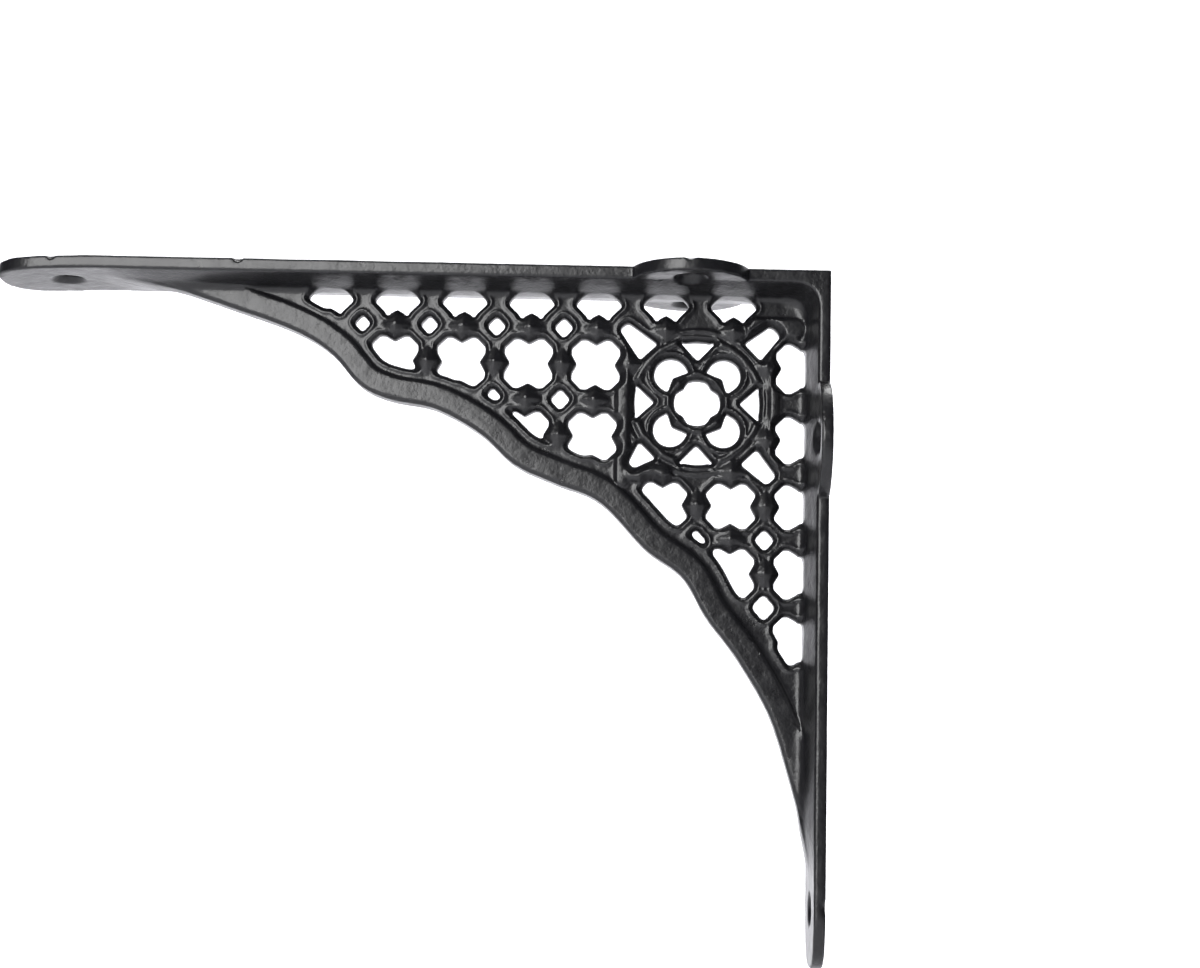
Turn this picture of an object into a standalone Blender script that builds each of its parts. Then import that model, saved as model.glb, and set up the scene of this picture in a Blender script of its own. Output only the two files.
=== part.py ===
"""Ornate cast iron shelf bracket, one casting.

Two flat flanges meet at a right angle, and a pierced web fills the corner between them. Lengths
are in millimetres from the outer corner: x is 0 on the wall face and falls towards the tip of the
shelf flange, z is 0 on the shelf face and falls down the wall, y is 0 in the middle of the web.
"""

import math

import bmesh
import bpy

MM = 0.001
CORNER_HEIGHT = 46.0

SHELF_REACH = 227.2
WALL_DROP = 184.0
FLANGE_HALF_WIDTH = 13.5
SHELF_THICKNESS = 3.5
WALL_THICKNESS = 3.1
ROOT_EXTRA = 1.8
ROOT_HALF_WIDTH = 2.7
INNER_FILLET = 4.0
TIP_DROOP = 1.3
DROOP_LENGTH = 30.0
NOSE_LENGTH = 17.0
NOSE_SIDES = 12
TIP_THINNING = 0.85
CUTTER_PAST = 5.0
CUTTER_DEPTH = 15.0

EAR_REACH = 24.4
EAR_HALF_CHORD = 15.5
SHELF_EAR_PLACE = 37.6
WALL_EAR_PLACE = 46.0
EAR_HOLE_OFFSET = 15.2
SHELF_TIP_HOLE = 208.8
WALL_TIP_HOLE = 168.9
BORE_RADIUS = 3.2
SINK_RADIUS = 4.8
SINK_DEPTH = 1.6
SINK_RUN = 10.0
SINK_PAST = 0.6
TIP_SINK_LIFT = 0.4
BORE_START = 4.0
ROUND_SIDES = 20
EAR_SIDES = 36

WEB_HALF = 2.3
RIM_HALF = 3.3
RIM_WIDTH = 6.0
RIM_SLOPE = 1.3
RIM_EDGE = 0.7
FIELD_MARGIN_SHELF = 9.4
FIELD_MARGIN_WALL = 11.2
FLANGE_OVERLAP = 2.0
WEB_INSET = 0.8
WEB_EDGE_INSET = 0.5
WEB_CORNER = -0.2
OUTLINE_STEPS = 3
# The front edge passes through these points, (x, z), in three scallops.
OUTLINE_KNOTS = (
    (-202.0, 0.6), (-185.7, -4.0), (-168.8, -9.4), (-147.0, -16.7), (-135.3, -23.2),
    (-126.7, -32.2), (-118.3, -35.9), (-106.0, -38.2), (-93.6, -44.7), (-84.0, -53.0),
    (-72.9, -57.9), (-60.6, -62.8), (-48.2, -75.2), (-38.0, -82.6), (-31.6, -93.2),
    (-22.9, -104.3), (-13.9, -120.0), (-7.3, -140.7), (-1.2, -160.0),
)

COLUMN_PITCH = 18.42
ROW_PITCH = 18.6
LAST_COLUMN = 7
LAST_COLUMN_X = -7.0
FIRST_ROW_Z = -6.2
TOP_ROW_RISE = 0.9
CELL_HALF_WIDTH = 6.8
CELL_HALF_HEIGHT = 7.05
CUSP_DEPTH = 1.4
CUSP_HALF = 2.4
LOBE_CUT = 1.8
LOBE_EASE = 0.2
CELLS_IN_ROW = ((0, 1, 2, 3, 4, 5, 6), (1, 2, 3, 4, 7), (3, 4, 7), (5, 6, 7), (6, 7), (7,))
EYE_RADIUS = 2.75
EYE_POINT = 1.05
EYE_SIDE = 0.9
EYE_SIDES = 8
# The eyes are the small holes between four cells: column, row, size.
EYES = (
    (0.5, 0.5, 0.9), (1.5, 0.5, 1.0), (2.5, 0.5, 1.0), (3.5, 0.5, 1.0), (2.5, 1.5, 0.9),
    (3.5, 1.5, 1.05), (5.5, 3.5, 1.15), (6.5, 3.5, 1.05), (6.5, 4.5, 1.15),
)
KNOBS_BESIDE = ((1, 1), (2, 1), (3, 1), (4, 1), (3, 2), (5, 3), (6, 3), (6, 4), (6, 1), (6, 2))
KNOBS_BELOW = ((1, 0), (2, 0), (3, 0), (4, 0), (3, 1), (4, 1), (6, 3), (5, 0), (6, 0), (6, 2), (5, 2))
KNOB_HALF_DIAGONAL = 4.1
KNOB_TOP = 0.9
KNOB_HEIGHT = 3.6
KNOB_SINK = 0.5

CHAMFER_DEPTH = 0.7
FLARE = 0.9
CUTTER_CLEARANCE = 2.0

ROSE_X = -35.0
ROSE_Z = -34.8
RING_INNER = 16.2
RING_OUTER = 20.4
RING_HALF = 3.1
RING_SLOPE = 0.9
RING_SIDES = 32
FRAME_SIDES = 20
FRAME_LAP = 0.4
PETAL_X = 7.2
PETAL_Z = 7.6
PETAL_HOLE = 4.5
PETAL_FRAME = 6.6
PETAL_HALF = 2.8
PETAL_CORNER = 6.8
PETAL_START = 170.0
PETAL_STEP = 25.0
PETAL_POINTS = 11
CENTRE_HOLE = 6.2
CENTRE_WAIST = 5.1
CENTRE_FRAME = 8.7
CENTRE_HALF = 3.0
CENTRE_POINTS = 16
STUD_PLACE = 5.1
STUD_HALF_DIAGONAL = 1.7
STUD_HEIGHT = 3.7
LENS_TIP = 11.8
LENS_ARC = 16.9
LENS_HALF_ANGLE = 15.0
LENS_STEPS = 2
SLOT_END = 1.0
# The four openings around the ring: direction in degrees, nearest and farthest distance from
# the rose's centre, and the width at each end.
CORNER_SLOTS = ((134.0, 19.6, 29.2, 6.2, 3.3), (44.0, 21.0, 29.4, 6.0, 4.0),
                (-45.5, 20.6, 29.2, 5.7, 3.8), (-135.0, 18.9, 24.6, 5.6, 2.6))


def clear_scene():
    for item in list(bpy.data.objects):
        bpy.data.objects.remove(item, do_unlink=True)


def black_paint():
    material = bpy.data.materials.new("black_paint")
    material.use_nodes = True
    shader = material.node_tree.nodes["Principled BSDF"]
    shader.inputs["Base Color"].default_value = (0.02, 0.02, 0.022, 1.0)
    shader.inputs["Roughness"].default_value = 0.3
    shader.inputs["Metallic"].default_value = 0.0
    return material


def add_loft(mesh, rings, closed=False):
    """Joins rings of (x, y, z) with quads, and caps the ends unless the rings close on themselves."""
    made = [[mesh.verts.new(point) for point in ring] for ring in rings]
    count = len(made[0])
    pairs = list(zip(made, made[1:]))
    if closed:
        pairs.append((made[-1], made[0]))
    for ring, after in pairs:
        for i in range(count):
            j = (i + 1) % count
            mesh.faces.new((ring[i], ring[j], after[j], after[i]))
    if not closed:
        mesh.faces.new(made[0])
        mesh.faces.new(made[-1])


def new_object(name, lofts, closed=False):
    mesh = bmesh.new()
    for rings in lofts:
        add_loft(mesh, rings, closed)
    bmesh.ops.recalc_face_normals(mesh, faces=mesh.faces)
    for vertex in mesh.verts:
        vertex.co.z += CORNER_HEIGHT
        vertex.co *= MM
    data = bpy.data.meshes.new(name)
    mesh.to_mesh(data)
    mesh.free()
    item = bpy.data.objects.new(name, data)
    bpy.context.scene.collection.objects.link(item)
    return item


def combine(item, operation, helper):
    helper.hide_render = True
    helper.display_type = "WIRE"
    change = item.modifiers.new(helper.name, "BOOLEAN")
    change.operation = operation
    change.object = helper
    change.solver = "EXACT"


def level(points, y):
    return [(x, y, z) for x, z in points]


def slab(points, half):
    return [level(points, -half), level(points, half)]


def circle(x, z, radius, sides=ROUND_SIDES):
    turns = [math.tau * i / sides for i in range(sides)]
    return [(x + radius * math.cos(turn), z + radius * math.sin(turn)) for turn in turns]


def grown(points, amount):
    """Moves each point of a counter-clockwise outline outwards along the mean of its two normals."""
    result = []
    for i, (x, z) in enumerate(points):
        before = points[i - 1]
        after = points[(i + 1) % len(points)]
        dx = after[0] - before[0]
        dz = after[1] - before[1]
        length = math.hypot(dx, dz)
        result.append((x + amount * dz / length, z - amount * dx / length))
    return result


def counter_clockwise(points):
    area = 0.0
    for (x, z), (after_x, after_z) in zip(points, points[1:] + points[:1]):
        area += x * after_z - after_x * z
    return points if area > 0 else points[::-1]


def flared(points):
    """A cutter through the web, straight in the middle and wider at both faces."""
    inner = counter_clockwise(points)
    outer = grown(inner, FLARE)
    bottom = WEB_HALF - CHAMFER_DEPTH
    top = bottom + FLARE
    far = RIM_HALF + CUTTER_CLEARANCE
    return [level(outer, -far), level(outer, -top), level(inner, -bottom),
            level(inner, bottom), level(outer, top), level(outer, far)]


def smooth_line(knots, steps):
    """A Catmull-Rom curve through the knots, as (x, z) points."""
    padded = [knots[0], *knots, knots[-1]]
    line = []
    for i in range(len(knots) - 1):
        a, b, c, d = padded[i:i + 4]
        for step in range(steps):
            t = step / steps
            line.append(tuple(
                0.5 * (2 * b[k] + (c[k] - a[k]) * t + (2 * a[k] - 5 * b[k] + 4 * c[k] - d[k]) * t * t
                       + (3 * b[k] - a[k] - 3 * c[k] + d[k]) * t ** 3) for k in (0, 1)))
    line.append(knots[-1])
    return line


def beside(line, amounts):
    """The line moved by each amount towards the corner of the bracket."""
    result = []
    for i, (x, z) in enumerate(line):
        before = line[max(i - 1, 0)]
        after = line[min(i + 1, len(line) - 1)]
        dx = after[0] - before[0]
        dz = after[1] - before[1]
        length = math.hypot(dx, dz)
        result.append((x - amounts[i] * dz / length, z + amounts[i] * dx / length))
    return result


def cell_centre(column, row):
    x = LAST_COLUMN_X - COLUMN_PITCH * (LAST_COLUMN - column)
    z = FIRST_ROW_Z - ROW_PITCH * row
    rise = TOP_ROW_RISE * max(0.0, 1.0 - row)
    return x, z + rise


def cell_outline(column, row):
    """A square of four rounded lobes with a cusp in the middle of each side."""
    wide = CELL_HALF_WIDTH
    high = CELL_HALF_HEIGHT
    quarter = ((0.0, high - CUSP_DEPTH), (CUSP_HALF, high), (wide - LOBE_CUT, high - LOBE_EASE),
               (wide - LOBE_EASE, high - LOBE_CUT), (wide, CUSP_HALF), (wide - CUSP_DEPTH, 0.0))
    right = list(quarter) + [(x, -z) for x, z in quarter[-2::-1]]
    left = [(-x, z) for x, z in right[-2:0:-1]]
    centre_x, centre_z = cell_centre(column, row)
    return [(centre_x + x, centre_z + z) for x, z in right + left]


def eye_outline(column, row, size):
    x, z = cell_centre(column, row)
    points = []
    for i in range(EYE_SIDES):
        radius = EYE_RADIUS * size * (EYE_POINT if i % 2 == 0 else EYE_SIDE)
        turn = math.tau * i / EYE_SIDES
        points.append((x + radius * math.cos(turn), z + radius * math.sin(turn)))
    return points


def slot_outline(direction, near, far, near_width, far_width):
    turn = math.radians(direction)
    along = (math.cos(turn), math.sin(turn))
    corners = ((near, -near_width / 2), (far - SLOT_END, -far_width / 2), (far, -far_width / 4),
               (far, far_width / 4), (far - SLOT_END, far_width / 2), (near, near_width / 2))
    return [(ROSE_X + a * along[0] - s * along[1], ROSE_Z + a * along[1] + s * along[0])
            for a, s in corners]


def petal_outline(side_x, side_z):
    turns = [math.radians(PETAL_START - PETAL_STEP * i) for i in range(PETAL_POINTS)]
    points = [(PETAL_X + PETAL_HOLE * math.cos(t), PETAL_Z + PETAL_HOLE * math.sin(t)) for t in turns]
    points.append((PETAL_CORNER, PETAL_CORNER))
    return [(ROSE_X + side_x * x, ROSE_Z + side_z * z) for x, z in points]


def lens_outline(direction):
    points = [(LENS_TIP, direction)]
    steps = range(-LENS_STEPS, LENS_STEPS + 1)
    points += [(LENS_ARC, direction + LENS_HALF_ANGLE * i / LENS_STEPS) for i in steps]
    turned = [(radius, math.radians(angle)) for radius, angle in points]
    return [(ROSE_X + r * math.cos(t), ROSE_Z + r * math.sin(t)) for r, t in turned]


def centre_outline():
    points = []
    for i in range(CENTRE_POINTS):
        turn = math.tau * i / CENTRE_POINTS
        radius = CENTRE_WAIST if i % 4 == 2 else CENTRE_HOLE
        points.append((ROSE_X + radius * math.cos(turn), ROSE_Z + radius * math.sin(turn)))
    return points


def rose_openings():
    """The rose's openings in groups, so that no cutter touches another of its group."""
    return {
        "centre_cutter": [centre_outline()],
        "petal_cutters": [petal_outline(x, z) for x in (-1, 1) for z in (-1, 1)],
        "lens_cutters": [lens_outline(direction) for direction in (0, 90, 180, 270)],
        "slot_cutters": [slot_outline(*slot) for slot in CORNER_SLOTS],
    }


def lattice_outlines():
    outlines = []
    for row, columns in enumerate(CELLS_IN_ROW):
        outlines += [cell_outline(column, row) for column in columns]
    outlines += [eye_outline(*eye) for eye in EYES]
    return outlines


def field_outline(line):
    """Where the lattice may be open: clear of the rim, and running on into both flanges."""
    last = len(line) - 1
    grow = FIELD_MARGIN_WALL - FIELD_MARGIN_SHELF
    margins = [FIELD_MARGIN_SHELF + grow * (i / last) ** 2 for i in range(len(line))]
    stop = -FLANGE_OVERLAP
    edge = [(x, z) for x, z in beside(line, margins) if x < stop and z < stop]
    return [(edge[0][0], stop), *edge, (stop, edge[-1][1]), (stop, stop)]


def annulus(x, z, inner, outer, half, sides):
    """A flat ring with its two outer edges sloped, as sections in turn round its centre."""
    slope = RING_SLOPE
    section = ((inner, -half), (outer - slope, -half), (outer, -half + slope),
               (outer, half - slope), (outer - slope, half), (inner, half))
    rings = []
    for i in range(sides):
        turn = math.tau * i / sides
        rings.append([(x + r * math.cos(turn), y, z + r * math.sin(turn)) for r, y in section])
    return rings


def knob(x, z, half_diagonal, height, top):
    """A square pyramid standing on its corner, on both faces of the web."""
    def square(size):
        return [(x + size, z), (x, z + size), (x - size, z), (x, z - size)]
    foot = WEB_HALF - KNOB_SINK
    return [level(square(top), -height), level(square(half_diagonal), -foot),
            level(square(half_diagonal), foot), level(square(top), height)]


def knobs():
    places = []
    for column, row in KNOBS_BESIDE:
        places.append(cell_centre(column + 0.5, row))
    for column, row in KNOBS_BELOW:
        places.append(cell_centre(column, row + 0.5))
    lofts = [knob(x, z, KNOB_HALF_DIAGONAL, KNOB_HEIGHT, KNOB_TOP) for x, z in places]
    return new_object("knobs", lofts)


def studs():
    lofts = []
    for side_x in (-1, 1):
        for side_z in (-1, 1):
            x = ROSE_X + side_x * STUD_PLACE
            z = ROSE_Z + side_z * STUD_PLACE
            lofts.append(knob(x, z, STUD_HALF_DIAGONAL, STUD_HEIGHT, STUD_HALF_DIAGONAL / 3))
    return new_object("studs", lofts)


def rim(line):
    """The raised band along the front edge, with a sloped inner side."""
    count = len(line)

    def band(outer, inner):
        return beside(line, [outer] * count) + beside(line, [inner] * count)[::-1]
    top = band(RIM_EDGE, RIM_WIDTH)
    shoulder = band(0.0, RIM_WIDTH + RIM_SLOPE / 2)
    foot = band(0.0, RIM_WIDTH + RIM_SLOPE)
    low = RIM_HALF - RIM_EDGE
    lower = RIM_HALF - RIM_SLOPE
    rings = [level(top, -RIM_HALF), level(shoulder, -low), level(foot, -lower),
             level(foot, lower), level(shoulder, low), level(top, RIM_HALF)]
    return new_object("rim", [rings])


def corner_block():
    """All that lies inside the flanges' outer faces, which the web has to stay within."""
    corners = [(-SHELF_REACH, -WALL_DROP), (-WEB_INSET, -WALL_DROP), (-WEB_INSET, -WEB_INSET),
               (-SHELF_REACH, -WEB_INSET)]
    return new_object("corner_block", [slab(corners, FLANGE_HALF_WIDTH)])


def web(line):
    edge = beside(line, [WEB_EDGE_INSET] * len(line))
    plate = new_object("web", [slab([*edge, (WEB_CORNER, WEB_CORNER)], WEB_HALF)])
    combine(plate, "UNION", rim(line))
    combine(plate, "UNION", knobs())
    ring = annulus(ROSE_X, ROSE_Z, RING_INNER, RING_OUTER, RING_HALF, RING_SIDES)
    combine(plate, "UNION", new_object("rose_ring", [ring], closed=True))
    frames = [annulus(ROSE_X + x * PETAL_X, ROSE_Z + z * PETAL_Z, PETAL_HOLE - FRAME_LAP, PETAL_FRAME,
                      PETAL_HALF, FRAME_SIDES) for x in (-1, 1) for z in (-1, 1)]
    combine(plate, "UNION", new_object("petal_frames", frames, closed=True))
    middle = annulus(ROSE_X, ROSE_Z, CENTRE_WAIST - FRAME_LAP, CENTRE_FRAME, CENTRE_HALF, FRAME_SIDES)
    combine(plate, "UNION", new_object("centre_frame", [middle], closed=True))
    combine(plate, "UNION", studs())
    cells = new_object("lattice_cutters", [flared(points) for points in lattice_outlines()])
    combine(cells, "INTERSECT", new_object("lattice_field", [flared(field_outline(line))]))
    combine(plate, "INTERSECT", corner_block())
    combine(plate, "DIFFERENCE", cells)
    for name, outlines in rose_openings().items():
        combine(plate, "DIFFERENCE", new_object(name, [flared(points) for points in outlines]))
    return plate


def flange_profile(extra):
    """The two flanges seen from the side, thicker by extra on their inner faces."""
    shelf = SHELF_THICKNESS + extra
    wall = WALL_THICKNESS + extra
    bend = SHELF_REACH - DROOP_LENGTH
    turns = [math.radians(90 * i / 5) for i in range(6)]
    fillet = [(-wall - INNER_FILLET * (1 - math.cos(t)), -shelf - INNER_FILLET * (1 - math.sin(t)))
              for t in turns]
    return [(-SHELF_REACH, -TIP_DROOP), (-bend, 0.0), (0.0, 0.0), (0.0, -WALL_DROP),
            (-wall * TIP_THINNING, -WALL_DROP), *fillet, (-bend, -shelf),
            (-SHELF_REACH, -TIP_DROOP - shelf * TIP_THINNING)]


def flanges():
    thin = flange_profile(0.0)
    thick = flange_profile(ROOT_EXTRA)
    rings = [level(thin, -FLANGE_HALF_WIDTH), level(thick, -ROOT_HALF_WIDTH),
             level(thick, ROOT_HALF_WIDTH), level(thin, FLANGE_HALF_WIDTH)]
    return new_object("bracket", [rings])


def nose_cutters():
    """What is taken off both tips in plan, so that each ends in a rounded nose."""
    def trimmed(reach):
        turns = [math.pi * (i / NOSE_SIDES - 0.5) for i in range(NOSE_SIDES + 1)]
        nose = [(reach - NOSE_LENGTH * (1 - math.cos(t)), FLANGE_HALF_WIDTH * math.sin(t)) for t in turns]
        wide = FLANGE_HALF_WIDTH + CUTTER_PAST
        far = reach + CUTTER_PAST
        near = reach - NOSE_LENGTH
        return [(near, -wide), *nose, (near, wide), (far, wide), (far, -wide)]
    shelf = trimmed(SHELF_REACH)
    wall = trimmed(WALL_DROP)
    ends = (CUTTER_PAST, -CUTTER_DEPTH)
    over_shelf = [[(-s, y, end) for s, y in shelf] for end in ends]
    over_wall = [[(end, y, -s) for s, y in wall] for end in ends]
    return new_object("nose_cutters", [over_shelf, over_wall])


def ears():
    """Two round ears on each flange, each a disc sunk into the flange's edge."""
    rise = EAR_REACH - FLANGE_HALF_WIDTH
    radius = (EAR_HALF_CHORD ** 2 + rise ** 2) / (2 * rise)
    offset = EAR_REACH - radius
    lofts = []
    for side in (-1, 1):
        shelf = circle(-SHELF_EAR_PLACE, side * offset, radius, EAR_SIDES)
        lofts.append([[(x, y, 0.0) for x, y in shelf], [(x, y, -SHELF_THICKNESS) for x, y in shelf]])
    for side in (-1, 1):
        wall = circle(-WALL_EAR_PLACE, side * offset, radius, EAR_SIDES)
        lofts.append([[(0.0, y, z) for z, y in wall], [(-WALL_THICKNESS, y, z) for z, y in wall]])
    return lofts


def screw_bore(place, side, thickness):
    """Circles at four depths: a straight bore, then a cone that runs on past the inner face."""
    mouth = SINK_RADIUS + SINK_PAST * (SINK_RADIUS - BORE_RADIUS) / SINK_DEPTH
    depths = ((BORE_START, BORE_RADIUS), (SINK_DEPTH - thickness, BORE_RADIUS),
              (-thickness - SINK_PAST, mouth), (-SINK_RUN, mouth))
    return [(depth, circle(-place, side * EAR_HOLE_OFFSET, radius)) for depth, radius in depths]


def screw_cutters():
    """Six bores, each widened to a cone on the inner face."""
    lofts = []
    tip_depth = SHELF_THICKNESS + ROOT_EXTRA + TIP_DROOP / 3 - TIP_SINK_LIFT
    for place, side, depth in ((SHELF_EAR_PLACE, -1, SHELF_THICKNESS), (SHELF_EAR_PLACE, 1, SHELF_THICKNESS),
                               (SHELF_TIP_HOLE, 0, tip_depth)):
        bore = screw_bore(place, side, depth)
        lofts.append([[(x, y, end) for x, y in ring] for end, ring in bore])
    tip_depth = WALL_THICKNESS + ROOT_EXTRA - TIP_SINK_LIFT
    for place, side, depth in ((WALL_EAR_PLACE, -1, WALL_THICKNESS), (WALL_EAR_PLACE, 1, WALL_THICKNESS),
                               (WALL_TIP_HOLE, 0, tip_depth)):
        bore = screw_bore(place, side, depth)
        lofts.append([[(end, y, z) for z, y in ring] for end, ring in bore])
    return new_object("screw_cutters", lofts)


def build():
    clear_scene()
    line = smooth_line(OUTLINE_KNOTS, OUTLINE_STEPS)
    bracket = flanges()
    combine(bracket, "DIFFERENCE", nose_cutters())
    for number, ear in enumerate(ears()):
        combine(bracket, "UNION", new_object(f"ear_{number + 1}", [ear]))
    combine(bracket, "UNION", web(line))
    combine(bracket, "DIFFERENCE", screw_cutters())
    bracket.data.materials.append(black_paint())


build()
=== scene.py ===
import itertools
import math

import bpy
import numpy as np
from mathutils import Matrix, Vector, noise


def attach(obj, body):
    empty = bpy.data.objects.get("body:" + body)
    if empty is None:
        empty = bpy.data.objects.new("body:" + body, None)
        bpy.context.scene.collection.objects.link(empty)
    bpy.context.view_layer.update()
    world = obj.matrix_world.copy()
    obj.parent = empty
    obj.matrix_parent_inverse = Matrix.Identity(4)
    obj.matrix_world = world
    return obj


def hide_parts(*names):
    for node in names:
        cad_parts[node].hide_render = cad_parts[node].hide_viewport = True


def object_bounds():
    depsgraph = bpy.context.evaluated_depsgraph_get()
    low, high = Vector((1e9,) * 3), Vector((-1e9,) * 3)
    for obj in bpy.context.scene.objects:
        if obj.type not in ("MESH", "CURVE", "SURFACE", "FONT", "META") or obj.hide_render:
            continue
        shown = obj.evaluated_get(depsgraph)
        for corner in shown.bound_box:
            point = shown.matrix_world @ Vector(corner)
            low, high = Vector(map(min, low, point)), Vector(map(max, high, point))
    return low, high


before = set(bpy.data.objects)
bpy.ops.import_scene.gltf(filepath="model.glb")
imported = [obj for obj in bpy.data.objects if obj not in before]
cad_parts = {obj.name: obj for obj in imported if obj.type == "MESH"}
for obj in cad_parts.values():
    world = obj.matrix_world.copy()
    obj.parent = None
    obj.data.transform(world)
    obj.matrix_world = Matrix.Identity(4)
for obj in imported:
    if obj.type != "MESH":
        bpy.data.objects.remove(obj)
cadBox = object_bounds()
print("frame loaded")

# All shapes below are in millimetres from the bracket's outer corner: x falls along the shelf,
# z falls down the wall, y is 0 in the middle of the web.
cornerHeight = 46.0


# Distances to shapes, negative inside them, and soft joins that round the line where two of them meet

def softUnion(a, b, blend):
    near = np.maximum(blend - np.abs(a - b), 0.0) / blend
    return np.minimum(a, b) - near * near * blend / 4


def softCut(a, b, blend):
    near = np.maximum(blend - np.abs(a - b), 0.0) / blend
    return np.maximum(a, b) + near * near * blend / 4


def segmentDistance(x, z, a, b):
    dx, dz = b[0] - a[0], b[1] - a[1]
    along = ((x - a[0]) * dx + (z - a[1]) * dz) / (dx * dx + dz * dz)
    along = np.clip(along, 0.0, 1.0)
    return np.hypot(x - a[0] - along * dx, z - a[1] - along * dz)


def polygonDistance(x, z, points):
    distance = np.full(np.broadcast(x, z).shape, 1e6, np.float32)
    inside = np.zeros(distance.shape, bool)
    for a, b in zip(points, points[1:] + points[:1]):
        distance = np.minimum(distance, segmentDistance(x, z, a, b))
        if a[1] != b[1]:
            crosses = (a[1] > z) != (b[1] > z)
            inside ^= crosses & (x < a[0] + (z - a[1]) * (b[0] - a[0]) / (b[1] - a[1]))
    return np.where(inside, -distance, distance)


def grown(points, amount):
    area = sum(a[0] * b[1] - b[0] * a[1] for a, b in zip(points, points[1:] + points[:1]))
    points = points if area > 0 else points[::-1]
    result = []
    for i, (x, z) in enumerate(points):
        before, after = points[i - 1], points[(i + 1) % len(points)]
        dx, dz = after[0] - before[0], after[1] - before[1]
        length = math.hypot(dx, dz)
        result.append((x + amount * dz / length, z - amount * dx / length))
    return result


# The front outline

outline = {
    "steps": 8,
    "knots": ((-202.0, 0.6), (-185.7, -4.0), (-168.8, -9.4), (-147.0, -16.7), (-135.3, -23.2),
              (-126.7, -32.2), (-118.3, -35.9), (-106.0, -38.2), (-93.6, -44.7), (-84.0, -53.0),
              (-72.9, -57.9), (-60.6, -62.8), (-48.2, -75.2), (-38.0, -82.6), (-31.6, -93.2),
              (-22.9, -104.3), (-13.9, -120.0), (-7.3, -140.7), (-1.2, -160.0)),
    "marginShelf": 9.4,
    "marginWall": 11.2,
    "intoFlange": 2.0,
}


def smoothLine(knots, steps):
    padded = [knots[0], *knots, knots[-1]]
    line = []
    for i in range(len(knots) - 1):
        a, b, c, d = padded[i:i + 4]
        for step in range(steps):
            t = step / steps
            line.append(tuple(
                0.5 * (2 * b[k] + (c[k] - a[k]) * t + (2 * a[k] - 5 * b[k] + 4 * c[k] - d[k]) * t * t
                       + (3 * b[k] - a[k] - 3 * c[k] + d[k]) * t ** 3) for k in (0, 1)))
    return line + [knots[-1]]


def beside(line, amounts):
    result = []
    for i, (x, z) in enumerate(line):
        before, after = line[max(i - 1, 0)], line[min(i + 1, len(line) - 1)]
        dx, dz = after[0] - before[0], after[1] - before[1]
        length = math.hypot(dx, dz)
        result.append((x - amounts[i] * dz / length, z + amounts[i] * dx / length))
    return result


frontLine = smoothLine(outline["knots"], outline["steps"])


def fieldOutline():
    last = len(frontLine) - 1
    grow = outline["marginWall"] - outline["marginShelf"]
    margins = [outline["marginShelf"] + grow * (i / last) ** 2 for i in range(last + 1)]
    stop = -outline["intoFlange"]
    edge = [(x, z) for x, z in beside(frontLine, margins) if x < stop and z < stop]
    return [(edge[0][0], stop), *edge, (stop, edge[-1][1]), (stop, stop)]


# The lattice

lattice = {
    "columnPitch": 18.42,
    "rowPitch": 18.6,
    "lastColumn": 7,
    "lastColumnX": -7.0,
    "firstRowZ": -6.2,
    "topRowRise": 0.9,
    "halfWidth": 6.8,
    "topHalfWidth": 6.35,
    "halfHeights": (7.05, 7.15, 6.75, 6.35, 6.85, 7.0),
    "rowShifts": (0.0, 0.1, -1.1, -0.8, -0.4, 0.0),
    "lean": -0.5,
    "leanColumns": 4.6,
    "tight": 0.32,
    "cuspDepth": 1.5,
    "cuspHalf": 2.5,
    "lobeCut": 2.6,
    "topLobeCut": 3.5,
    "lobeEase": 0.1,
    "rounding": 0.7,
    "fieldRounding": 1.6,
    "eyeRounding": 0.2,
    "rows": ((0, 1, 2, 3, 4, 5, 6), (1, 2, 3, 4, 7), (3, 4, 7), (5, 6, 7), (6, 7), (7,)),
    "eyeRadius": 2.7,
    "eyeNarrow": 0.9,
    "eyeSquare": 0.1,
    "eyePoints": 16,
    "eyes": ((0.5, 0.48, 0.9), (1.5, 0.48, 0.98), (2.5, 0.48, 1.02), (3.5, 0.48, 1.04), (2.5, 1.48, 0.92),
             (3.5, 1.5, 1.08), (5.5, 3.54, 1.15), (6.5, 3.5, 1.05), (6.5, 4.5, 1.25)),
    "knobsBeside": ((1, 1), (2, 1), (3, 1), (4, 1), (3, 2), (5, 3), (6, 3), (6, 4), (6, 1), (6, 2)),
    "knobsBelow": ((1, 0), (2, 0), (3, 0), (4, 0), (3, 1), (4, 1), (6, 3), (5, 0), (6, 0), (6, 2)),
    "knobHeight": 4.0,
    "knobTop": 0.5,
    "knobSlope": 0.42,
}


def cellCentre(column, row):
    x = lattice["lastColumnX"] - lattice["columnPitch"] * (lattice["lastColumn"] - column)
    x += lattice["lean"] * row if column < lattice["leanColumns"] else 0.0
    z = lattice["firstRowZ"] - lattice["rowPitch"] * row
    z += float(np.interp(row, range(len(lattice["rowShifts"])), lattice["rowShifts"]))
    return x, z + lattice["topRowRise"] * max(0.0, 1.0 - row)


def cellOutline(column, row):
    wide = lattice["halfWidth"] if row else lattice["topHalfWidth"]
    high = lattice["halfHeights"][row]
    cut = lattice["lobeCut"] if row else lattice["topLobeCut"]
    half, depth, ease = lattice["cuspHalf"], lattice["cuspDepth"], lattice["lobeEase"]
    quarter = [(0.0, high - depth), (half, high), (wide - cut, high - ease),
               (wide - ease, high - cut), (wide, half), (wide - depth, 0.0)]
    right = quarter + [(x, -z) for x, z in quarter[-2::-1]]
    left = [(-x, z) for x, z in right[-2:0:-1]]
    centreX, centreZ = cellCentre(column, row)
    return [(centreX + x, centreZ + z) for x, z in right + left]


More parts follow.
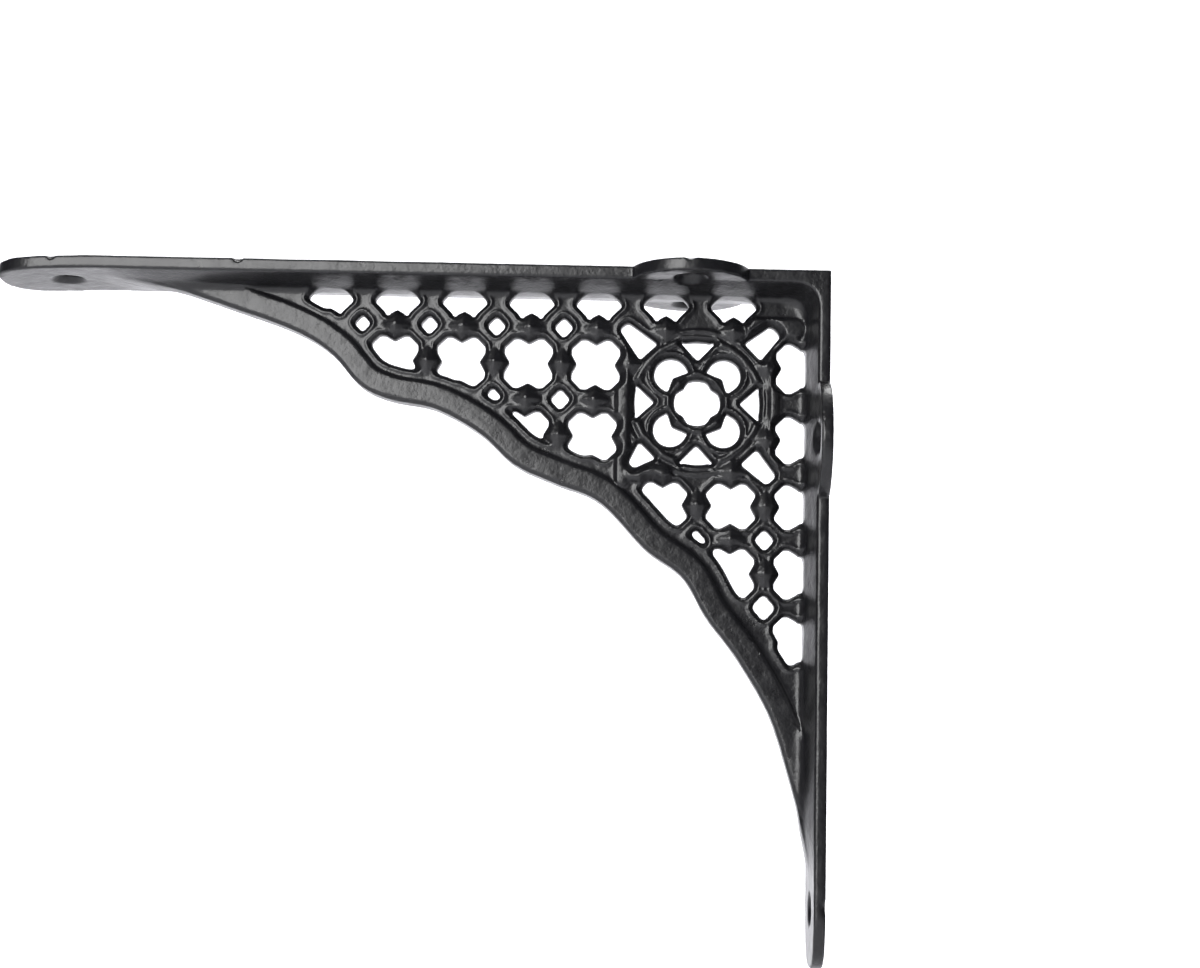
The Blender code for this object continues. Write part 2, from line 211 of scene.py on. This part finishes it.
def eyeOutline(column, row, size):
    x, z = cellCentre(column, row)
    points = []
    for i in range(lattice["eyePoints"]):
        turn = math.tau * i / lattice["eyePoints"]
        corner = lattice["eyeSquare"] * (math.cos(4 * turn) - 0.5)
        radius = lattice["eyeRadius"] * size * (1 + corner)
        points.append((x + lattice["eyeNarrow"] * radius * math.cos(turn), z + radius * math.sin(turn)))
    return points


# The rose in the corner

rose = {
    "x": -35.0,
    "z": -34.8,
    "ringInner": 16.9,
    "ringOuter": 20.6,
    "petalX": 7.2,
    "petalZ": 7.6,
    "petalHole": 4.5,
    "petalStart": 170.0,
    "petalStep": 12.5,
    "petalPoints": 21,
    "petalFrame": 6.7,
    "petalCorner": 6.8,
    "centreHole": 6.2,
    "centreWaist": 5.2,
    "centreFrame": 8.9,
    "centrePoints": 32,
    "studPlace": 5.1,
    "studHeight": 3.7,
    "studSlope": 0.9,
    "lensTip": 11.8,
    "lensArc": 16.9,
    "lensHalfAngle": 15.0,
    "lensSteps": 4,
    "slotEnd": 0.7,
    "centreRounding": 0.2,
    "petalRounding": 0.35,
    "lensRounding": 0.3,
    "slotRounding": 0.5,
    # the bead and the flat of the ring, then the petals' frames and the middle one: low and high side
    "beadWidth": 1.5,
    "flatStart": 1.9,
    "lap": 1.0,
    "bead": (2.2, 3.2),
    "flat": (2.1, 2.9),
    "petalRelief": (2.1, 3.0),
    "centreRelief": (2.1, 3.1),
    "bandSlope": 1.4,
    # direction in degrees, nearest and farthest distance, width at each end
    "slots": ((134.0, 19.6, 29.2, 6.2, 3.3), (44.0, 21.0, 29.4, 6.0, 4.0),
              (-45.5, 20.6, 29.2, 5.7, 3.8), (-135.0, 18.9, 24.6, 5.6, 2.6)),
}


def slotOutline(direction, near, far, nearWidth, farWidth):
    turn = math.radians(direction)
    c, s = math.cos(turn), math.sin(turn)
    short = far - rose["slotEnd"]
    corners = ((near, -nearWidth / 2), (short, -farWidth / 2), (far, -farWidth / 4),
               (far, farWidth / 4), (short, farWidth / 2), (near, nearWidth / 2))
    return [(rose["x"] + a * c - w * s, rose["z"] + a * s + w * c) for a, w in corners]


def petalOutline(sideX, sideZ):
    angles = [rose["petalStart"] - rose["petalStep"] * i for i in range(rose["petalPoints"])]
    turns = [math.radians(angle) for angle in angles]
    hole = rose["petalHole"]
    points = [(rose["petalX"] + hole * math.cos(t), rose["petalZ"] + hole * math.sin(t)) for t in turns]
    points.append((rose["petalCorner"], rose["petalCorner"]))
    return [(rose["x"] + sideX * x, rose["z"] + sideZ * z) for x, z in points]


def lensOutline(direction):
    points = [(rose["lensTip"], direction)]
    steps = rose["lensSteps"]
    turns = [rose["lensHalfAngle"] * i / steps for i in range(-steps, steps + 1)]
    points += [(rose["lensArc"], direction + turn) for turn in turns]
    points = [(r, math.radians(angle)) for r, angle in points]
    return [(rose["x"] + r * math.cos(t), rose["z"] + r * math.sin(t)) for r, t in points]


def centreOutline():
    points = []
    for i in range(rose["centrePoints"]):
        turn = math.tau * i / rose["centrePoints"]
        dip = max(0.0, -math.cos(4 * turn)) ** 2
        radius = rose["centreHole"] + (rose["centreWaist"] - rose["centreHole"]) * dip
        points.append((rose["x"] + radius * math.cos(turn), rose["z"] + radius * math.sin(turn)))
    return points


# The distance to an opening with rounded corners, worked out only near it
def roundedOpening(x, z, points, rounding, reach=5.0):
    inner = grown(points, -rounding)
    xs, zs = [p[0] for p in points], [p[1] for p in points]
    result = np.full((x.shape[0], z.shape[1]), reach, np.float32)
    pickX = np.flatnonzero((x[:, 0] > min(xs) - reach) & (x[:, 0] < max(xs) + reach))
    pickZ = np.flatnonzero((z[0] > min(zs) - reach) & (z[0] < max(zs) + reach))
    if len(pickX) and len(pickZ):
        window = np.ix_(pickX, pickZ)
        result[window] = polygonDistance(x[pickX], z[:, pickZ], inner) - rounding
    return result


# How thick the web is at each place

relief = {
    "web": 2.3,
    "openingEdge": 1.35,
    "chamferSlope": 1.15,
    "lip": 0.42,
    "lipPlace": 1.15,
    "lipWidth": 0.55,
    "bar": 3.6,
    "barSlope": 1.2,
    "barShoulder": 0.8,
    "barFoot": 1.4,
    "thumbRound": 0.7,
    "thumb": ((-52.0, -54.3), (-44.0, -55.0), 2.8),
    "bars": (((-55.2, -21.0), (-54.9, -56.5), 2.1),
             ((-19.5, -14.0), (-9.0, -14.0), 3.0), ((-14.2, -20.0), (-14.2, -52.0), 1.6)),
    "rim": 3.3,
    "rimWidth": 6.0,
    "rimSlope": 1.2,
    "rimStep": 1.3,
    "rimEdge": 2.5,
}


# The distance to all the openings
def openingField(x, z):
    openings = None
    for row, columns in enumerate(lattice["rows"]):
        for column in columns:
            one = roundedOpening(x, z, cellOutline(column, row), lattice["rounding"])
            openings = one if openings is None else np.minimum(openings, one)
    for eye in lattice["eyes"]:
        openings = np.minimum(openings, roundedOpening(x, z, eyeOutline(*eye), lattice["eyeRounding"]))
    field = polygonDistance(x, z, fieldOutline())
    openings = softCut(openings + lattice["tight"], field, lattice["fieldRounding"])
    shapes = [(centreOutline(), rose["centreRounding"])]
    shapes += [(petalOutline(a, b), rose["petalRounding"]) for a in (-1, 1) for b in (-1, 1)]
    shapes += [(lensOutline(direction), rose["lensRounding"]) for direction in (0, 90, 180, 270)]
    shapes += [(slotOutline(*slot), rose["slotRounding"]) for slot in rose["slots"]]
    for points, rounding in shapes:
        openings = np.minimum(openings, roundedOpening(x, z, points, rounding))
    return openings


# Half the thickness of the web, the distance outside its outline, and the distance to its openings
def webFields(x, z):
    openings = openingField(x, z)
    edge = np.full(openings.shape, 1e6, np.float32)
    for a, b in zip(frontLine, frontLine[1:]):
        edge = np.minimum(edge, segmentDistance(x, z, a, b))
    outside = polygonDistance(x, z, [*frontLine, (0.0, 0.0)])
    half = np.full(openings.shape, relief["web"], np.float32)
    beyond = np.clip((edge - relief["rimWidth"]) / relief["rimSlope"], 0.0, 1.0)
    rim = relief["rim"] - beyond * relief["rimStep"]
    half = np.maximum(half, rim)
    for column, row in lattice["knobsBeside"]:
        half = np.maximum(half, knobHeight(x, z, *cellCentre(column + 0.5, row)))
    for column, row in lattice["knobsBelow"]:
        half = np.maximum(half, knobHeight(x, z, *cellCentre(column, row + 0.5)))
    half = np.maximum(half, roseHeight(x, z))
    for start, end, width in relief["bars"]:
        away = segmentDistance(x, z, start, end)
        past = np.clip(away - width + relief["barShoulder"], 0.0, relief["barFoot"])
        half = np.maximum(half, relief["bar"] - relief["barSlope"] * past)
    start, end, width = relief["thumb"]
    away = segmentDistance(x, z, start, end)
    rise = np.sqrt(np.maximum(width ** 2 - away ** 2, 0.0))
    half = np.maximum(half, relief["web"] + relief["thumbRound"] * rise)
    half = half + relief["lip"] * np.exp(-((openings - relief["lipPlace"]) / relief["lipWidth"]) ** 2)
    half = np.minimum(half, relief["openingEdge"] + np.maximum(openings, 0.0) * relief["chamferSlope"])
    half = np.minimum(half, relief["rimEdge"] + np.maximum(edge, 0.0))
    return half, outside, openings


def knobHeight(x, z, atX, atZ):
    away = np.abs(x - atX) + np.abs(z - atZ)
    return lattice["knobHeight"] - lattice["knobSlope"] * np.maximum(away - lattice["knobTop"], 0.0)


# A raised ring between two radii, with sloped shoulders
def band(radius, inner, outer, low, high):
    slope = rose["bandSlope"]
    return low + np.clip(np.minimum(radius - inner, outer - radius) * slope, -1.0, high - low)


def roseHeight(x, z):
    fromX, fromZ = x - rose["x"], z - rose["z"]
    radius = np.hypot(fromX, fromZ)
    ring, lap = rose["ringInner"], rose["lap"]
    height = band(radius, ring - lap, ring + rose["beadWidth"], *rose["bead"])
    height = np.maximum(height, band(radius, ring + rose["flatStart"], rose["ringOuter"], *rose["flat"]))
    petal = np.hypot(np.abs(fromX) - rose["petalX"], np.abs(fromZ) - rose["petalZ"])
    frames = band(petal, rose["petalHole"] - lap, rose["petalFrame"], *rose["petalRelief"])
    height = np.maximum(height, frames)
    middle = band(radius, rose["centreWaist"] - lap, rose["centreFrame"], *rose["centreRelief"])
    height = np.maximum(height, middle)
    studs = np.abs(np.abs(fromX) - rose["studPlace"]) + np.abs(np.abs(fromZ) - rose["studPlace"])
    return np.maximum(height, rose["studHeight"] - rose["studSlope"] * studs)


# The two flanges

flange = {
    "shelfReach": 227.2,
    "wallDrop": 184.0,
    "halfWidth": 13.5,
    "shelfThickness": 3.5,
    "wallThickness": 3.1,
    "shelfRootExtra": 1.8,
    "wallRootExtra": 2.5,
    "rootHalf": 2.7,
    "rootFade": 14.0,
    "shelfRoot": 198.0,
    "wallRoot": 162.0,
    "tipDroop": 1.3,
    "droopLength": 30.0,
    "droopPower": 1.5,
    "noseLength": 17.0,
    "nosePower": 2.7,
    "earReach": 24.4,
    "earHalfChord": 15.5,
    "shelfEar": 37.6,
    "wallEar": 46.0,
    "edgeRound": 0.4,
    "innerFillet": 7.0,
    "filletReach": 25.0,
    "webFillet": 2.4,
    "webReach": 9.0,
    "webInset": 1.5,
    "holeEdge": 0.5,
}
screwHoles = {
    "bore": 3.2,
    "sink": 4.8,
    "sinkDepth": 1.6,
    "sinkRun": 2.5,
    "through": 9.0,
    "away": 5.0,
    "offset": 15.2,
    "shelfTip": 208.8,
    "shelfTipSink": 0.5,
    "wallTip": 168.9,
}


# A flange seen square on: a strip with a rounded nose and a round ear on each edge
def planDistance(along, y, reach, ear):
    wide = flange["halfWidth"]
    past = np.maximum(along - (reach - flange["noseLength"]), 0.0)
    power = flange["nosePower"]
    strip = (((past / flange["noseLength"]) ** power + (y / wide) ** power) ** (1 / power) - 1.0) * wide
    rise = flange["earReach"] - wide
    radius = (flange["earHalfChord"] ** 2 + rise ** 2) / (2 * rise)
    disc = np.hypot(along - ear, y - (flange["earReach"] - radius)) - radius
    return np.minimum(strip, disc)


# What a flange gains in thickness from its edge in to the web, as far as the web goes
def thickening(y, along, end, extra):
    wide, root = flange["halfWidth"], flange["rootHalf"]
    draft = min(1.0, max(0.0, (wide - y) / (wide - root)))
    return extra * draft * np.clip((end - along) / flange["rootFade"], 0.0, 1.0)


# A bore, and the cone that opens it towards the inner face
def screwHole(along, depth, y, place, offset, thickness):
    radius = np.hypot(along - place, y - offset)
    widening = np.clip(depth - (thickness - screwHoles["sinkDepth"]), 0.0, screwHoles["sinkRun"])
    sink = (screwHoles["sink"] - screwHoles["bore"]) / screwHoles["sinkDepth"]
    hole = radius - screwHoles["bore"] - widening * sink
    return np.where(depth < thickness + screwHoles["through"], hole, screwHoles["away"])


# The distance to the two flanges at one distance from the middle plane
def sliceOfFlanges(x, z, y):
    shelf, wall = flange["shelfThickness"], flange["wallThickness"]
    beyond = (-x - flange["shelfReach"] + flange["droopLength"]) / flange["droopLength"]
    level = z + flange["tipDroop"] * np.maximum(beyond, 0.0) ** flange["droopPower"]
    shelfRoot = thickening(y, -x, flange["shelfRoot"], flange["shelfRootExtra"])
    wallRoot = thickening(y, -z, flange["wallRoot"], flange["wallRootExtra"])
    shelfSlab = np.maximum(level, -level - shelf - shelfRoot)
    wallSlab = np.maximum(x, -x - wall - wallRoot)
    shelfPlan = planDistance(-x, y, flange["shelfReach"], flange["shelfEar"])
    wallPlan = planDistance(-z, y, flange["wallDrop"], flange["wallEar"])
    edge = flange["edgeRound"]
    pair = np.minimum(softCut(shelfSlab, shelfPlan, edge), softCut(wallSlab, wallPlan, edge))
    corner = softUnion(shelfSlab, wallSlab, flange["innerFillet"])
    near = np.maximum(-flange["filletReach"] - x, -flange["filletReach"] - z)
    corner = softCut(np.maximum(corner, near), y - flange["halfWidth"], edge)
    return np.minimum(pair, corner)


# The distance to the six screw holes, of which this half has four
def sliceOfHoles(x, z, y):
    shelf, wall, offset = flange["shelfThickness"], flange["wallThickness"], screwHoles["offset"]
    tipShelf = shelf + screwHoles["shelfTipSink"]
    holes = np.minimum(screwHole(-x, -z, y, flange["shelfEar"], offset, shelf),
                       screwHole(-x, -z, y, screwHoles["shelfTip"], 0.0, tipShelf))
    holes = np.minimum(holes, screwHole(-z, -x, y, flange["wallEar"], offset, wall))
    return np.minimum(holes, screwHole(-z, -x, y, screwHoles["wallTip"], 0.0, wall))


# The distance to the whole casting at one distance from the middle plane
def sliceOfCasting(x, z, y, web):
    whole = sliceOfFlanges(x, z, y)
    half, outside, openings = web
    if y < flange["webReach"]:
        body = softCut(np.maximum(y - half, outside), -openings, flange["holeEdge"])
        body = np.maximum(body, np.maximum(x, z) + flange["webInset"])
        whole = softUnion(whole, body, flange["webFillet"])
    whole = np.maximum(whole, np.maximum(x, z))
    return softCut(whole, -sliceOfHoles(x, z, y), flange["holeEdge"])


# A mesh from the distances: one point in each cell that the surface passes through

casting = {
    "cell": 0.46,
    "quickCell": 0.7,
    "mostTriangles": 196000,
    "relax": 0.2,
    "margin": 1.5,
}


# The mean of the places where a cell's edges cross the surface
def surfacePoints(values, cells):
    total = np.zeros((len(cells), 3))
    count = np.zeros(len(cells))
    for axis in range(3):
        step = np.eye(3, dtype=int)[axis]
        for pair in itertools.product((0, 1), repeat=2):
            start = np.insert(np.array(pair), axis, 0)
            a = values[tuple((cells + start).T)]
            b = values[tuple((cells + start + step).T)]
            crosses = (a < 0) != (b < 0)
            share = np.where(crosses, a / np.where(crosses, a - b, 1.0), 0.0)
            points = cells + start + share[:, None] * step
            total[crosses] += points[crosses]
            count += crosses
    return total / count[:, None]


# A quad round each grid edge that crosses the surface
def surfaceQuads(inside, index):
    quads = []
    for axis in range(3):
        u, v = (axis + 1) % 3, (axis + 2) % 3
        size = inside.shape
        low = [slice(0, n) for n in size]
        high = list(low)
        low[axis], high[axis] = slice(0, size[axis] - 1), slice(1, size[axis])
        edges = np.argwhere(inside[tuple(low)] != inside[tuple(high)])
        fits = (edges[:, u] > 0) & (edges[:, v] > 0)
        fits &= (edges[:, u] < size[u] - 1) & (edges[:, v] < size[v] - 1)
        edges = edges[fits]
        stepU, stepV = np.eye(3, dtype=int)[u], np.eye(3, dtype=int)[v]
        around = (edges, edges - stepU, edges - stepU - stepV, edges - stepV)
        quad = np.stack([index[tuple(cell.T)] for cell in around], axis=1)
        outward = inside[tuple(edges.T)]
        quads.append(np.where(outward[:, None], quad, quad[:, ::-1]))
    return np.concatenate(quads)


# The near half is meshed, and its mirror image is joined to it on the middle plane
def castBracket():
    cell = casting["cell"]
    margin = casting["margin"]
    x = np.arange(-flange["shelfReach"] - margin, margin, cell, dtype=np.float32)[:, None]
    z = np.arange(-flange["wallDrop"] - margin, margin, cell, dtype=np.float32)[None, :]
    rows = int((flange["earReach"] + margin) / cell) + 2
    web = webFields(x, z)
    print("web drawn")
    heights = [(j - 0.5) * cell for j in range(rows)]
    values = np.stack([sliceOfCasting(x, z, abs(y), web).astype(np.float32) for y in heights], axis=1)
    inside = values < 0
    corners = [inside[i:i + inside.shape[0] - 1, j:j + inside.shape[1] - 1, k:k + inside.shape[2] - 1]
               for i, j, k in itertools.product((0, 1), repeat=3)]
    active = np.any(corners, axis=0) & ~np.all(corners, axis=0)
    cells = np.argwhere(active)
    index = np.full(active.shape, -1, np.int64)
    index[active] = np.arange(len(cells))
    points = surfacePoints(values, cells)
    quads = surfaceQuads(inside, index)
    points = np.stack([x[0, 0] + cell * points[:, 0], (points[:, 1] - 0.5) * cell,
                       z[0, 0] + cell * points[:, 2]], axis=1)
    middle = cells[:, 1] == 0
    points[middle, 1] = 0.0
    twin = np.where(middle, np.arange(len(points)), 0)
    twin[~middle] = len(points) + np.arange((~middle).sum())
    mirrored = points[~middle] * (1, -1, 1)
    points = np.concatenate([points, mirrored])
    quads = np.concatenate([quads, twin[quads][:, ::-1]])
    print("surface found:", len(quads), "quads")
    return points, quads


# Moves each point a part of the way to the mean of its neighbours
def relaxed(points, quads, amount):
    ends = np.concatenate([quads[:, [i, (i + 1) % 4]] for i in range(4)])
    total = np.zeros_like(points)
    count = np.bincount(ends[:, 0], minlength=len(points))
    for k in range(3):
        total[:, k] = np.bincount(ends[:, 0], weights=points[ends[:, 1], k], minlength=len(points))
    return points + amount * (total / count[:, None] - points)


def meshFrom(name, points, quads):
    mesh = bpy.data.meshes.new(name)
    mesh.vertices.add(len(points))
    mesh.vertices.foreach_set("co", points.astype(np.float32).ravel())
    mesh.loops.add(len(quads) * 4)
    mesh.loops.foreach_set("vertex_index", quads.astype(np.int32).ravel())
    mesh.polygons.add(len(quads))
    mesh.polygons.foreach_set("loop_start", np.arange(0, len(quads) * 4, 4, dtype=np.int32))
    mesh.update(calc_edges=True)
    mesh.validate()
    return mesh


def thinned(mesh, name):
    carrier = bpy.data.objects.new(name, mesh)
    bpy.context.scene.collection.objects.link(carrier)
    triangles = 2 * len(mesh.polygons)
    if triangles > casting["mostTriangles"]:
        change = carrier.modifiers.new("thin", "DECIMATE")
        change.ratio = casting["mostTriangles"] / triangles
        change.use_collapse_triangulate = True
        bpy.context.view_layer.update()
        graph = bpy.context.evaluated_depsgraph_get()
        result = bpy.data.meshes.new_from_object(carrier.evaluated_get(graph))
        carrier.modifiers.clear()
        carrier.data = result
    return carrier


# The unevenness of sand casting under thick paint

wear = {
    "wave": 0.09,
    "waveSize": 14.0,
    "grain": 0.05,
    "grainSize": 2.2,
    # small marks on the edges: place, radii and depth
    "nicks": (((-210.3, -13.5, -0.4), (1.4, 1.6, 1.3), 1.0), ((-159.6, -13.5, 0.0), (1.5, 1.6, 1.4), 1.3),
              ((-38.0, -24.4, 0.0), (1.6, 1.6, 1.1), 0.7), ((0.0, -13.5, -167.5), (1.2, 1.4, 2.0), 0.7)),
}


def roughen(points, normals):
    moved = points.copy()
    for i, (point, normal) in enumerate(zip(points, normals)):
        place = Vector(point)
        lift = wear["wave"] * noise.noise(place / wear["waveSize"])
        lift += wear["grain"] * noise.noise(place / wear["grainSize"])
        moved[i] = point + lift * normal
    for place, radii, depth in wear["nicks"]:
        away = np.sqrt((((points - place) / radii) ** 2).sum(axis=1))
        push = np.clip(1.0 - away, 0.0, 1.0)[:, None] * depth
        moved -= normals * push
    return moved


# Makes the mesh uneven, and moves it into the part's own frame, within the size of its solid
def roughenMesh(mesh):
    spots = np.zeros(len(mesh.vertices) * 3)
    mesh.vertices.foreach_get("co", spots)
    normals = np.zeros(len(mesh.vertices) * 3)
    mesh.vertices.foreach_get("normal", normals)
    spots = roughen(spots.reshape(-1, 3), normals.reshape(-1, 3))
    spots[:, 2] += cornerHeight
    spots = np.clip(spots / 1000, np.array(cadBox[0]), np.array(cadBox[1]))
    mesh.vertices.foreach_set("co", spots.ravel())
    mesh.update()


# The paint, and a small class for its shader maths

class Sock:
    def __init__(self, tree, socket):
        self.tree, self.socket = tree, socket

    def node(self, kind, settings, inputs):
        made = self.tree.nodes.new(kind)
        for key, value in settings.items():
            setattr(made, key, value)
        for key, value in inputs.items():
            if isinstance(value, Sock):
                self.tree.links.new(value.socket, made.inputs[key])
            else:
                made.inputs[key].default_value = value
        return made

    def output(self, made, key):
        return Sock(self.tree, made.outputs[key])

    def maths(self, operation, other, swapped=False):
        first, second = (other, self) if swapped else (self, other)
        return self.output(self.node("ShaderNodeMath", {"operation": operation}, {0: first, 1: second}), 0)

    # This socket is the share of the second colour
    def mixed(self, first, second):
        made = self.node("ShaderNodeMix", {"data_type": "RGBA"}, {0: self, 6: first, 7: second})
        return self.output(made, 2)

    def __add__(self, other):
        return self.maths("ADD", other)

    def __mul__(self, other):
        return self.maths("MULTIPLY", other)

    def __sub__(self, other):
        return self.maths("SUBTRACT", other)

    def __rsub__(self, other):
        return self.maths("SUBTRACT", other, True)

    __radd__ = __add__
    __rmul__ = __mul__


paint = {
    "deep": (0.004, 0.004, 0.005, 1.0),
    "dusty": (0.014, 0.014, 0.016, 1.0),
    "roughness": 0.31,
    "roughnessSpread": 0.2,
    "sideRoughness": 0.03,
    "broadSize": 55.0,
    "mottleSize": 260.0,
    "peelSize": 1100.0,
    "mottleShare": 0.7,
    "peelShare": 0.4,
    "bump": 0.45,
    "bumpDepth": 0.0004,
    "ior": 1.5,
    "coat": 0.15,
    "coatRoughness": 0.12,
}


def blackPaint():
    material = bpy.data.materials.new("blackPaint")
    material.use_nodes = True
    tree = material.node_tree
    shader = tree.nodes["Principled BSDF"]
    sock = Sock(tree, None)
    where = sock.output(sock.node("ShaderNodeTexCoord", {}, {}), "Object")
    normal = sock.output(sock.node("ShaderNodeNewGeometry", {}, {}), "Normal")
    across = sock.output(sock.node("ShaderNodeSeparateXYZ", {}, {"Vector": normal}), "Y")

    def cloud(scale, detail):
        inputs = {"Vector": where, "Scale": scale, "Detail": detail}
        return sock.output(sock.node("ShaderNodeTexNoise", {}, inputs), "Fac")
    broad = cloud(paint["broadSize"], 3.0)
    mottle = cloud(paint["mottleSize"], 4.0)
    peel = cloud(paint["peelSize"], 2.0)
    share = mottle * paint["mottleShare"] + broad * (1 - paint["mottleShare"])
    tone = share.mixed(paint["deep"], paint["dusty"])
    rough = mottle * paint["roughnessSpread"] + (paint["roughness"] - paint["roughnessSpread"] / 2)
    rough = rough + (1.0 - across * across) * paint["sideRoughness"]
    height = peel * paint["peelShare"] + mottle
    bump = {"Height": height, "Strength": paint["bump"], "Distance": paint["bumpDepth"]}
    bumped = sock.output(sock.node("ShaderNodeBump", {}, bump), "Normal")
    for key, value in (("Base Color", tone), ("Roughness", rough), ("Normal", bumped)):
        tree.links.new(value.socket, shader.inputs[key])
    shader.inputs["Metallic"].default_value = 0.0
    shader.inputs["IOR"].default_value = paint["ior"]
    shader.inputs["Coat Weight"].default_value = paint["coat"]
    shader.inputs["Coat Roughness"].default_value = paint["coatRoughness"]
    return material


points, quads = castBracket()
surface = meshFrom("bracketCasting", relaxed(points, quads, casting["relax"]), quads)
roughenMesh(surface)
bracket = thinned(surface, "bracketCasting")
mesh = bracket.data
mesh.shade_smooth()
mesh.materials.clear()
mesh.materials.append(blackPaint())
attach(bracket, "root")
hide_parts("bracket")
print("casting made:", len(mesh.polygons), "faces")


# Floor, backdrop, lights and camera

studio = {
    "floorZ": -0.30,
    "frontY": -1.6,
    "backY": 1.66,
    "curve": 0.42,
    "curveSteps": 12,
    "glowLeft": -0.80,
    "height": 2.2,
    "halfWidth": 2.6,
    "pale": (0.86, 0.86, 0.89, 1.0),
    "roughness": 0.9,
    "glow": 0.9,
    "world": (0.55, 0.55, 0.60, 1.0),
    "worldStrength": 0.06,
}


def palePaint(name, glow):
    material = bpy.data.materials.new(name)
    material.use_nodes = True
    shader = material.node_tree.nodes["Principled BSDF"]
    shader.inputs["Base Color"].default_value = studio["pale"]
    shader.inputs["Roughness"].default_value = studio["roughness"]
    shader.inputs["Emission Color"].default_value = studio["pale"]
    shader.inputs["Emission Strength"].default_value = glow
    return material


def sheet(name, profile, sides, material):
    points = [(side, y, studio["floorZ"] + z) for y, z in profile for side in sides]
    faces = [(2 * i, 2 * i + 1, 2 * i + 3, 2 * i + 2) for i in range(len(profile) - 1)]
    mesh = bpy.data.meshes.new(name)
    mesh.from_pydata(points, [], faces)
    mesh.shade_smooth()
    mesh.materials.append(material)
    made = bpy.data.objects.new(name, mesh)
    bpy.context.scene.collection.objects.link(made)


def paleStage():
    start = studio["backY"] - studio["curve"]
    wide, left = studio["halfWidth"], studio["glowLeft"]
    plain = palePaint("paleFloor", 0.0)
    sheet("floor", [(studio["frontY"], 0.0), (start, 0.0)], (-wide, wide), plain)
    profile = []
    for i in range(studio["curveSteps"] + 1):
        turn = math.radians(90 * i / studio["curveSteps"])
        profile.append((start + studio["curve"] * math.sin(turn), studio["curve"] * (1 - math.cos(turn))))
    profile.append((studio["backY"], studio["height"]))
    sheet("backdropSide", profile, (-wide, left), plain)
    sheet("backdrop", profile, (left, wide), palePaint("paleBackdrop", studio["glow"]))


def areaLight(name, place, target, size, power):
    light = bpy.data.lights.new(name, "AREA")
    light.shape = "RECTANGLE"
    light.size, light.size_y = size
    light.energy = power
    made = bpy.data.objects.new(name, light)
    made.location = place
    direction = Vector(target) - Vector(place)
    made.rotation_euler = direction.to_track_quat("-Z", "Y").to_euler()
    bpy.context.scene.collection.objects.link(made)


def studioWorld():
    world = bpy.data.worlds.new("studio")
    world.use_nodes = True
    sky = world.node_tree.nodes["Background"]
    sky.inputs["Color"].default_value = studio["world"]
    sky.inputs["Strength"].default_value = studio["worldStrength"]
    bpy.context.scene.world = world


# the turn is an axis whose length is its angle in degrees
view = {
    "place": (-0.0511, -0.5363, -0.0888),
    "turn": (-8.22, 1.38, -0.93),
    "lens": 60.0,
    "sensor": 36.0,
    "nearest": 0.01,
}


def photoCamera():
    camera = bpy.data.objects.new("camera", bpy.data.cameras.new("camera"))
    camera.data.sensor_width = view["sensor"]
    camera.data.lens = view["lens"]
    axis = Vector(view["turn"])
    seen = Matrix.Rotation(math.radians(axis.length), 3, axis.normalized()).transposed()
    right, ahead, up = seen.col[0], seen.col[1], seen.col[2]
    camera.matrix_world = Matrix((right, up, -ahead)).transposed().to_4x4()
    camera.location = view["place"]
    camera.data.clip_start = view["nearest"]
    bpy.context.scene.collection.objects.link(camera)
    bpy.context.scene.camera = camera


# place, target, size and power of each light: the first shades the left front faces grey
lights = {
    "leftBox": ((-0.53, -1.05, 0.30), (-0.12, 0.0, 0.0), (0.72, 0.9), 14.0),
    "topBox": ((-0.1, 0.1, 1.1), (-0.1, 0.0, 0.0), (1.0, 0.8), 3.0),
    "backWash": ((0.0, 0.5, 1.6), (0.0, 1.4, 0.1), (2.0, 0.6), 30.0),
}

paleStage()
studioWorld()
for name, values in lights.items():
    areaLight(name, *values)
photoCamera()
bpy.context.scene.view_settings.view_transform = "Standard"
print("studio set")
